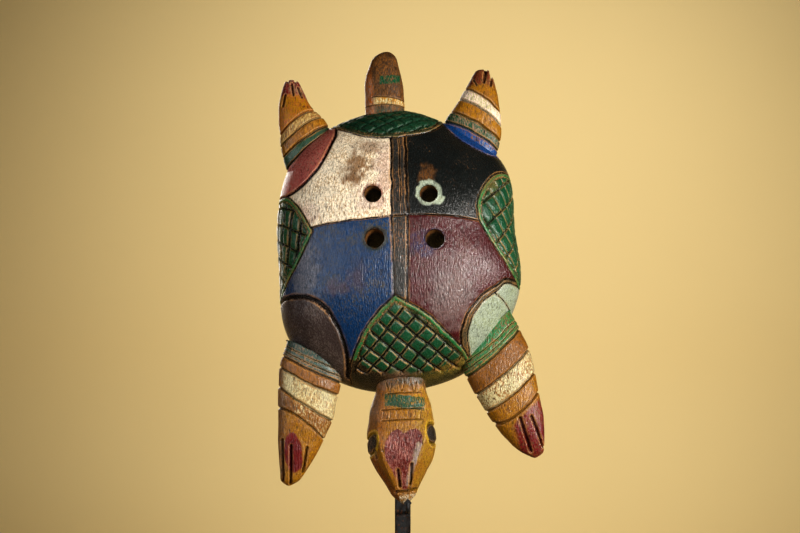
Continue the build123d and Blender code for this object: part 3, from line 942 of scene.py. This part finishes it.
# Level sections from the root outwards: (h, middle x, half width, middle p, half thickness)
LIMB_SECTIONS = {
    "head": [
        (-118, 3.8, 27, 24, 19),
        (-136, 3.8, 26.5, 24, 19.5),
        (-148, 3.8, 25.8, 24, 19.5),
        (-165, 3.8, 31, 24.5, 20.5),
        (-182, 3.9, 33.9, 25.5, 21.5),
        (-197, 4.3, 35.6, 26, 22),
        (-216, 4.3, 33, 26, 21),
        (-231, 4.4, 25.8, 26, 18.5),
        (-246, 5.5, 17, 25.5, 14.5),
        (-257, 6.4, 11.5, 25, 10.5),
        (-264.5, 6.8, 7, 24.5, 7),
    ],
    "tail": [
        (116, -13, 20, 20, 15),
        (140, -13, 21, 20, 15),
        (158, -13.5, 21, 20, 14.5),
        (178, -14.4, 19.4, 20, 13.5),
        (198, -13.5, 13.5, 19.5, 10.5),
        (208, -11, 7, 19, 7),
    ],
    "front_left_leg": [
        (-88, -81, 29, 22.5, 19.5),
        (-105, -84, 31, 22.5, 20),
        (-122, -87.5, 33, 23, 20),
        (-141, -89.2, 32.5, 23, 19.5),
        (-158, -91.6, 30.5, 23, 18.5),
        (-177, -93.2, 28.6, 23, 17),
        (-195, -96.9, 24.6, 23, 15),
        (-213, -100.8, 19.8, 22.5, 12.5),
        (-229, -105, 14.5, 22, 10),
        (-240, -108.5, 9.8, 21.5, 8),
        (-246, -110, 4.5, 21.5, 5),
    ],
    "front_right_leg": [
        (-62, 73, 40, 22.5, 19.5),
        (-85, 84.5, 41, 22.5, 20),
        (-108, 95.8, 39.5, 23, 20),
        (-130, 104, 36.8, 23, 19.5),
        (-147, 109.8, 34.2, 23, 18.5),
        (-163, 116, 31, 22.5, 17),
        (-178, 121.8, 27.6, 22, 15),
        (-192, 127, 22.6, 21.5, 12.5),
        (-204, 132.6, 16.8, 21, 9.5),
        (-213, 137.5, 10.5, 20.5, 7),
        (-218, 139.5, 5, 20.5, 5),
    ],
    "rear_left_leg": [
        (72, -84.5, 28, 21, 18),
        (88, -88, 30, 21, 18.5),
        (104, -92, 29.5, 21, 18.5),
        (119, -95.5, 27.4, 21.5, 18),
        (134, -100, 24, 22, 16.5),
        (148, -107, 17, 22, 14),
        (162, -109.2, 12.4, 22, 11),
        (176.5, -110.5, 7, 21.5, 7.5),
    ],
    "rear_right_leg": [
        (84, 72, 27, 21, 18),
        (100, 75, 29.5, 21, 18.5),
        (117, 77.3, 31.4, 21, 18.5),
        (133, 79, 29.4, 21.5, 18),
        (149, 83.4, 23, 22, 16.5),
        (162, 86.2, 18.2, 22, 14),
        (176, 88.4, 12.6, 22, 11),
        (188, 89.4, 7.5, 21.5, 7.5),
    ],
}

# Carved rings of each limb from the root outwards: (left x, h), (right x, h) and how far the middle rises
BANDS = {
    "tail": [((-34, 146), (9, 146), 1.5), ((-34, 153), (9, 150), 2.0)],
    "front_left_leg": [
        ((-117, -114), (-66, -139), -2), ((-120, -126), (-74, -150), -2), ((-121, -146), (-71, -178), -2),
        ((-121, -167), (-75, -198), 4),
    ],
    "front_right_leg": [
        ((81, -129), (126, -85.5), -3), ((86, -150), (131.5, -111), -3), ((99, -167), (136, -136), -3),
        ((112, -180), (142, -154), -3),
    ],
    "rear_left_leg": [
        ((-110.5, 84), (-69, 119), 2), ((-114, 97), (-72, 125.5), 2), ((-117, 108), (-78, 136), 2),
        ((-119, 120), (-88, 142), 2),
    ],
    "rear_right_leg": [
        ((50, 130), (101, 103), 2), ((55, 141), (104, 113), 2), ((61, 155), (107, 128), 2),
        ((69, 166), (108, 141), 2),
    ],
}


def slanted(points, left, right, sag):
    """Signed height of each point above the arc from left to right that rises by sag in its middle."""
    x = np.clip((points[:, 0] - left[0]) / (right[0] - left[0]), -0.3, 1.3)
    middle = left[1] + (right[1] - left[1]) * x + 4 * sag * x * (1 - x)
    slope = (right[1] - left[1]) / (right[0] - left[0])
    return (points[:, 1] - middle) / (1 + slope * slope) ** 0.5


def limb_base(name, facets=None, bluntness=2.0):
    """A limb's skin: the places (x, h) of its points, their levels p, and its faces."""
    sections = np.array(LIMB_SECTIONS[name], dtype=float)
    smooth = smooth_curve(sections, steps=12)
    travel = np.concatenate([[0], np.cumsum(np.abs(np.diff(smooth[:, 0])))])
    share = np.linspace(0, 1, ALONG)
    rows = np.stack([np.interp(share * travel[-1], travel, smooth[:, i]) for i in range(5)], axis=1)
    # Round the tip off within the limb's own length
    tip_span = 1.6 * sections[-1, 2] / travel[-1]
    tip = np.clip((share - (1 - tip_span)) / tip_span, 0, 1)
    closing = np.repeat(np.sqrt(np.clip(1 - tip**bluntness, 0, 1)), AROUND)
    angle = np.linspace(0, 2 * pi, AROUND, endpoint=False)
    spread, front = (
        np.tile(np.sign(wave) * np.abs(wave) ** (2 / LIMB_EXPONENT), ALONG)
        for wave in (np.cos(angle), np.sin(angle))
    )
    h, middle_x, half_width, middle_p, half_thickness = np.repeat(rows, AROUND, axis=0).T
    if facets is not None:
        front = facets(h, spread, front)
    x = middle_x + half_width * spread * closing
    p = middle_p + half_thickness * front * closing
    # Everything short of the socket's flat bottom is pressed onto it
    turn, reach = radians(FLATS[name][0]), FLATS[name][1]
    short = np.maximum(reach + SOCKET_GAP - (x * cos(turn) + h * sin(turn)), 0)
    x, h = x + short * cos(turn), h + short * sin(turn)
    faces = []
    for i in range(ALONG - 1):
        for j in range(AROUND):
            k = (j + 1) % AROUND
            faces.append((i * AROUND + j, i * AROUND + k, (i + 1) * AROUND + k, (i + 1) * AROUND + j))
    faces.append(tuple(range(AROUND))[::-1])
    if rows[-1, 0] > rows[0, 0]:
        faces = [face[::-1] for face in faces]
    return np.stack([x, h], axis=1), p, faces


def band_rings(finish, name, points, paints):
    """Carves a limb's rings and paints between them; paints holds one more entry than there are rings."""
    rings = BANDS[name]
    outwards = 1.0 if rings[-1][0][1] > rings[0][0][1] else -1.0
    strayed = wander(points, 8, 70, 0.6)
    heights = [slanted(strayed, *ring) * outwards for ring in rings]
    for height in heights:
        finish.groove(np.abs(height), 1.5, 2.0)
    passed = sum((height > 0).astype(int) for height in heights)
    for i, (paint, under, worn) in enumerate(paints):
        finish.coat(passed == i, paint, under, worn)
    if name.startswith("front"):  # two finer lines between the first ring and the root
        for back in (5.5, 11.0):
            finish.groove(np.abs(heights[0] + back), 0.7, 0.8)


def dress_limb(name, points, p, faces, finish, pull=None):
    """Makes the limb's visible piece from its skin and finish."""
    placed = place(points[:, 0], points[:, 1], p)
    normals = point_normals(placed, faces)
    ridges = hand(points + 31, 10) * 0.35
    placed = placed - normals * ((finish.depth + 0.5 + ridges) * MM)[:, None]
    if pull is not None:
        placed[:, 2] += pull * MM
    piece = new_object("carved_" + name, placed, faces, finish)
    piece.data.materials.append(LIMB_PAINT)
    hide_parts(name)
    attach(piece, "mask")


def slot_cut(finish, points, where, start, end, half_width, depth):
    """Cuts a straight slot."""
    finish.groove(distance_to(points, [start, end]), half_width, depth, where)


def build_front_left_leg():
    """Leg left of the head: white band, red patch and three claw slots."""
    points, p, faces = limb_base("front_left_leg")
    x, h = points[:, 0], points[:, 1]
    finish = Finish(len(points), OCHRE, ORANGE_BROWN, 0.35)
    band_rings(finish, "front_left_leg", points, [
        (srgb(52, 74, 66), GREY_BROWN, 0.25), (OCHRE_BROWN, BROWN, 0.3),
        (BAND_WHITE, srgb(160, 132, 84), 0.36),
        (OCHRE_BROWN, BAND_WHITE, 0.26), (OCHRE, OCHRE_BROWN, 0.35),
    ])
    front = p > 21
    # Painted sheen: the leg's left side made greyer, as under a soft light from the left
    finish.coat(smoothstep(-112, -120, x), GREY_BROWN, OCHRE_BROWN, 0.4)
    patch = np.hypot((x + 105 + 0.1 * (h + 212)) / 10, (h + 213) / 22) + 0.08 * hand(points, 5)
    finish.coat(smoothstep(1.0, 0.9, patch) * front, CLAW_RED, BROWN, 0.2)
    slot_cut(finish, points, front, (-117, -200), (-116, -244), 1.9, 3.4)
    slot_cut(finish, points, front, (-107.5, -206), (-107.5, -244), 1.9, 3.4)
    slot_cut(finish, points, front, (-91, -208), (-95, -238), 1.9, 3.2)
    dress_limb("front_left_leg", points, p, faces, finish)


def build_front_right_leg():
    """Leg right of the head: green root, white band and a red tip with two claw slots."""
    points, p, faces = limb_base("front_right_leg")
    x, h = points[:, 0], points[:, 1]
    finish = Finish(len(points), OCHRE, ORANGE_BROWN, 0.35)
    band_rings(finish, "front_right_leg", points, [
        (BRIGHT_GREEN, BROWN, 0.3), (OCHRE_BROWN, BROWN, 0.35), (BAND_WHITE, OCHRE_BROWN, 0.35),
        (OCHRE, OCHRE_BROWN, 0.4),
        (OCHRE, OCHRE_BROWN, 0.4),
    ])
    front = p > 18
    tip = slanted(points, (120, -180), (150, -150), 0)
    finish.coat(smoothstep(0, -3, tip) * smoothstep(118, 124, x + 0.25 * (h + 200)), CLAW_RED, BROWN, 0.3)
    slot_cut(finish, points, front, (124, -178), (135, -211), 2.0, 3.6)
    slot_cut(finish, points, front, (136, -176), (148, -206), 1.7, 3.2)
    dress_limb("front_right_leg", points, p, faces, finish)


def notches(points, gaps, half_width, depth):
    """How far the upward tip is pulled back at each gap between claws, given as (x, share of the depth)."""
    pull = np.zeros(len(points))
    for x, part in gaps:
        share = np.clip(1 - np.abs(points[:, 0] - x) / half_width, 0, 1)
        pull = np.maximum(pull, part * depth * share)
    along = np.repeat(np.linspace(0, 1, ALONG), AROUND)
    return -pull * smoothstep(0.84, 0.97, along)


def build_rear_left_leg():
    """Leg left of the tail: ochre bands and short red claws."""
    points, p, faces = limb_base("rear_left_leg", bluntness=8.0)
    finish = Finish(len(points), OCHRE, ORANGE_BROWN, 0.35)
    band_rings(finish, "rear_left_leg", points, [
        (LOBE_MAROON, GREY_BROWN, 0.25), (DARK_GREEN, GREEN, 0.3), (OCHRE_BROWN, OCHRE, 0.35),
        (srgb(190, 160, 100), OCHRE_BROWN, 0.4), (OCHRE, ORANGE_BROWN, 0.4),
    ])
    claws = slanted(points, (-122, 156), (-92, 152), 4)
    finish.coat(smoothstep(-1, 2, claws), CLAW_RED, GREY_BROWN, 0.35)
    slot_cut(finish, points, p > 20, (-110, 170), (-108, 158), 1.6, 2.6)
    slot_cut(finish, points, p > 20, (-117, 158), (-119, 146), 1.6, 2.4)
    slot_cut(finish, points, p > 20, (-103, 166), (-99, 156), 1.5, 2.2)
    pull = notches(points, [(-106.5, 1.0), (-114.5, 0.8)], 1.8, 3.0)
    dress_limb("rear_left_leg", points, p, faces, finish, pull)


def build_rear_right_leg():
    """Leg right of the tail: blue root, white band and deeply notched brown claws."""
    points, p, faces = limb_base("rear_right_leg", bluntness=10.0)
    finish = Finish(len(points), OCHRE_BROWN, OCHRE, 0.35)
    band_rings(finish, "rear_right_leg", points, [
        (LOBE_BLUE, BROWN, 0.25), (GREEN, GREY_BROWN, 0.3), (OCHRE, OCHRE_BROWN, 0.35),
        (BAND_WHITE, PINK_WHITE, 0.4), (OCHRE, OCHRE_BROWN, 0.4),
    ])
    finish.coat(smoothstep(166, 172, points[:, 1] + 2 * hand(points, 5)), srgb(112, 48, 32), BROWN, 0.35)
    slot_cut(finish, points, True, (91, 182), (90, 171), 1.7, 2.2)
    slot_cut(finish, points, True, (99, 178), (97.5, 168), 1.5, 2.2)
    slot_cut(finish, points, True, (79, 174), (82, 168), 1.2, 1.6)
    pull = notches(points, [(92.0, 1.0), (98.0, 0.8)], 2.0, 9.0)
    dress_limb("rear_right_leg", points, p, faces, finish, pull)


def build_tail():
    """Tail: brown wood with a white ring, a green patch and dark stains."""
    points, p, faces = limb_base("tail", bluntness=4.0)
    x, h = points[:, 0], points[:, 1]
    finish = Finish(len(points), srgb(128, 84, 40), srgb(74, 50, 28), 0.42)
    rings = BANDS["tail"]
    finish.groove(np.abs(slanted(points, *rings[0])), 0.8, 0.6)
    white = (slanted(points, *rings[0]) > 0) & (slanted(points, *rings[1]) < 2) & (x > -28)
    finish.coat(white, BAND_WHITE, OCHRE, 0.4)
    finish.groove(np.abs(slanted(points, *rings[1]) - 2), 0.7, 0.5, x > -28)
    for centre, size in (
        ((-15, 163), (7, 5)), ((-25, 181), (4, 8)), ((-8, 201), (7, 4)), ((-2, 188), (4, 4)),
        ((-20, 170), (9, 3)),
    ):
        finish.coat(0.8 * blot(points, centre, size), srgb(40, 36, 28), BROWN, 0.3)
    patch = (np.abs(h - 175 - 0.08 * x) < 4.5 + 0.6 * hand(points, 3)) & (x > -19) & (x < 3)
    finish.coat(patch & (p > 20), GREEN, BROWN, 0.25)
    finish.coat(smoothstep(150, 140, h) * 0.7, BROWN, DARK_GREEN, 0.4)
    finish.coat(smoothstep(-22, -27, x + 0.1 * (h - 150)), ORANGE_BROWN, GREY_BROWN, 0.35)
    finish.coat(blot(points, (-24, 194), (7, 5)) * 0.8, BROWN, DIRT_AND_SHADE, 0.3)
    dress_limb("tail", points, p, faces, finish)


def build_head():
    """Head with a flat forehead, slanting cheeks, eyes, heart patch, nostrils and mouth."""

    def facets(h, spread, front):
        """Flattens the forehead and slants the cheeks."""
        ridge = np.interp(-h, (165, 200, 235, 250, 264), (0.78, 0.66, 0.56, 0.5, 0.5))
        side = np.abs(spread)
        slope = np.clip((side - ridge) / (1 - ridge), 0, 1)
        flat = 1.0 - 0.8 * slope - 0.2 * smoothstep(0.8, 1.0, slope)
        share = smoothstep(-165, -205, h)
        return np.where(front > 0, front * (1 - share) + np.minimum(flat, front * 3) * share, front)

    points, p, faces = limb_base("head", facets)
    x, h = points[:, 0], points[:, 1]
    front = p > 24
    finish = Finish(len(points), OCHRE, OCHRE_BROWN, 0.4)
    # Painted shade: the left cheek and the left side of the head darker orange-brown
    cheek = -25 + 0.62 * (-214 - h)
    shaded_cheek = smoothstep(cheek + 2, cheek - 1, x) * smoothstep(-200, -212, h)
    finish.coat(shaded_cheek, srgb(132, 70, 14), BROWN, 0.3)
    shaded_left_side = smoothstep(-6, -18, x) * smoothstep(-216, -200, h)
    finish.coat(0.75 * shaded_left_side, srgb(128, 72, 24), BROWN, 0.35)
    # Painted light: the right side of the head lighter yellow
    finish.coat(0.75 * smoothstep(12, 22, x), srgb(168, 130, 44), OCHRE_BROWN, 0.35)
    # Painted shadow: the top of the neck darkened where it goes in under the carapace's rim
    neck_painted_shadow = smoothstep(-151, -143, h + 2.5 * hand(points, 5))
    finish.coat(0.9 * neck_painted_shadow, srgb(44, 44, 34), BROWN, 0.35)
    finish.coat(smoothstep(-16, -22, x) * smoothstep(-190, -170, h), GREY_BROWN, OCHRE_BROWN, 0.4)

    # Green band and scratched marks on the neck
    green = (np.abs(h + 162 + 0.1 * (x - 8)) < 6.5 + hand(points, 6)) & (x > -13) & (x < 28)
    finish.coat(green & front, GREEN, OCHRE, 0.3)
    for level, left, right in ((-153, -10, 24), (-169.5, -16, 26), (-180.5, -16, 26)):
        slot_cut(finish, points, front, (left, level - 1), (right, level + 1), 0.9, 0.8)
    for i in range(7):
        tick = -14 + 6.4 * i
        slot_cut(finish, points, front, (tick, -171), (tick + (i % 3 - 1), -179), 0.7, 0.6)
        slot_cut(finish, points, front, (tick + 2, -142), (tick + 5 - (i % 2) * 5, -151), 0.7, 0.6)

    # Heart patch
    heart = smooth_curve([
        (7, -194), (1, -190), (-7, -194), (-13, -206), (-13, -216), (-5, -232), (4, -248), (9, -251),
        (12, -243), (18, -226), (24, -208), (25, -196), (20, -190), (13, -190),
    ], closed=True)
    on_heart = inside(wander(points, 4, 20, 0.6), heart) & front
    finish.coat(on_heart, HEART_RED, srgb(150, 96, 84), 0.3)
    streak = distance_to(points, [(22, -206), (17, -224), (11, -244)]) + hand(points, 3)
    finish.coat(0.7 * smoothstep(4.0, 1.2, streak) * on_heart, BAND_WHITE, GREY_WEAR_AND_SHEEN, 0.6)

    # Nostrils and mouth
    slot_cut(finish, points, front, (0.5, -231), (2.5, -247), 1.8, 3.4)
    slot_cut(finish, points, front, (14.5, -225), (13.5, -245), 1.8, 3.4)
    finish.groove(distance_to(points, [(-2, -252.5), (9, -252), (20, -249)]), 1.7, 3.4, front)
    finish.coat(smoothstep(-254, -257, h - 0.2 * (x - 8)) * front * (x > 2), CREAM, OCHRE, 0.4)

    # Eyes: an almond sunk at its edge, with the ball standing up dark in it
    for centre, lean, side in (((-26.5, -204.5), 0.15, -1), ((35.5, -193.5), -0.1, 1)):
        across = x - centre[0] - lean * (h - centre[1])
        upright = h - centre[1]
        almond = np.hypot(across / 5.6, upright / 10.5)
        eye_front = p > 14
        finish.coat((almond < 1.4) & eye_front, srgb(190, 150, 40), OCHRE, 0.3)
        finish.coat(smoothstep(1.0, 0.85, almond) * eye_front, srgb(44, 38, 32), GREY_BROWN, 0.25)
        finish.groove(np.abs(almond - 1) * 6, 1.1, 1.5, eye_front & (across * side > -4))
        finish.depth -= 1.3 * smoothstep(1.0, 0.2, almond) * eye_front
        finish.depth -= 0.7 * smoothstep(0.35, 0.1, np.abs(almond - 1.4)) * eye_front
    slot_cut(finish, points, p > 14, (-24, -211), (-21.5, -219), 1.3, 2.0)
    dress_limb("head", points, p, faces, finish)


# ---------------------------------------------------------------- stand, studio and camera


def dress_stand():
    """Materials of the CAD pieces that stay as they are."""
    iron, steel, cloth, wood = old_iron(), plain_steel(), felt(), bare_wood()
    for node, material in (
        ("post", iron), ("hanger_rod", iron), ("chin_prong", iron), ("base_plate", iron),
        ("post_screw", steel), ("hanging_eye", steel), ("base_felt", cloth),
        ("neck_dowels", wood), ("tail_dowels", wood), ("leg_dowels", wood),
    ):
        piece = bpy.data.objects[node]
        piece.data.materials.clear()
        piece.data.materials.append(material)


def build_stage():
    """Pale floor that sweeps up into a backdrop."""
    shader = Shader("backdrop_paper")
    cloud = shader.noise(400, detail=2)
    colour = shader.mix(cloud, srgb(232, 203, 134), srgb(236, 207, 138))
    shader.set("Base Color", colour)
    shader.set("Roughness", 0.9)
    half_width, front, back, top, bend = 16.0, -16.0, 2.9, 6.0, 0.6
    profile = [(front, 0.0)]
    for i in range(17):
        angle = pi / 2 * i / 16
        profile.append((back - bend + bend * sin(angle), bend - bend * cos(angle)))
    profile.append((back, top))
    points = [(side * half_width, y, z) for y, z in profile for side in (-1, 1)]
    faces = [(2 * i, 2 * i + 1, 2 * i + 3, 2 * i + 2) for i in range(len(profile) - 1)]
    sweep = new_object("studio_sweep", np.array(points), faces)
    sweep.data.materials.append(shader.material)


def aim_lamp(light, place_at, aim):
    """Hangs a light at a place, turned to its aim."""
    lamp = bpy.data.objects.new(light.name, light)
    lamp.location = place_at
    lamp.rotation_euler = (Vector(aim) - Vector(place_at)).to_track_quat("-Z", "Y").to_euler()
    bpy.context.scene.collection.objects.link(lamp)


def area_light(name, place_at, aim, size, power, colour, spread):
    """Hangs a rectangular soft light; spread is in degrees."""
    light = bpy.data.lights.new(name, "AREA")
    light.shape = "RECTANGLE"
    light.size, light.size_y = size
    light.energy = power
    light.color = colour
    light.spread = radians(spread)
    aim_lamp(light, place_at, aim)


def build_lights():
    """A soft key from the right, weak lights from the left, below and behind, and a pool on the backdrop."""
    middle = (0.0, 0.0, CARAPACE_Z * MM)
    area_light("key", (1.25, -1.1, 0.35), middle, (0.45, 0.45), 2.1, (1.0, 0.96, 0.9), 36)
    area_light("low_key", (0.46, -0.86, 0.06), middle, (0.2, 0.2), 0.27, (1.0, 0.98, 0.95), 80)
    area_light("left_edge", (-0.95, -0.72, 0.42), middle, (0.2, 0.5), 0.5, (0.97, 0.98, 1.0), 50)
    area_light("back_fill", (-0.8, 2.4, 1.2), middle, (1.2, 1.2), 1.7, (1.0, 0.95, 0.88), 60)
    area_light("front_fill", (0.3, -1.9, 0.9), middle, (0.8, 0.6), 0.12, (1.0, 0.97, 0.93), 50)
    spot = bpy.data.lights.new("backdrop_pool", "SPOT")
    spot.energy = 134
    spot.color = (1.0, 1.02, 1.16)
    spot.spot_size = radians(100)
    spot.spot_blend = 1.0
    spot.shadow_soft_size = 0.3
    aim_lamp(spot, (0.25, 0.9, 1.25), (0.2, 2.9, 0.85))
    world = bpy.data.worlds.new("studio")
    world.use_nodes = True
    background = world.node_tree.nodes["Background"]
    background.inputs["Color"].default_value = (1.0, 0.9, 0.7, 1.0)
    background.inputs["Strength"].default_value = 0.035
    bpy.context.scene.world = world


CAMERA_AIM = (-2.8, -15.0, 343.5)
CAMERA_DISTANCE = 2.0
CAMERA_ELEVATION = radians(-9)
SENSOR_WIDTH = 36.0
LENS = 88.46


def build_camera():
    """The camera looks a little up at the mask from below its chin."""
    camera = bpy.data.cameras.new("camera")
    camera.sensor_width = SENSOR_WIDTH
    camera.lens = LENS
    camera.clip_start = 0.05
    way = Vector((0, cos(CAMERA_ELEVATION), -sin(CAMERA_ELEVATION)))
    eye = bpy.data.objects.new("camera", camera)
    eye.location = Vector(CAMERA_AIM) * MM - way * CAMERA_DISTANCE
    eye.rotation_euler = way.to_track_quat("-Z", "Y").to_euler()
    bpy.context.scene.collection.objects.link(eye)
    bpy.context.scene.camera = eye


build_camera()
build_carapace()
build_front_left_leg()
build_front_right_leg()
build_rear_left_leg()
build_rear_right_leg()
build_tail()
build_head()
dress_stand()
build_stage()
build_lights()
bpy.context.scene.view_settings.view_transform = "Standard"
bpy.context.scene.view_settings.look = "Medium High Contrast"
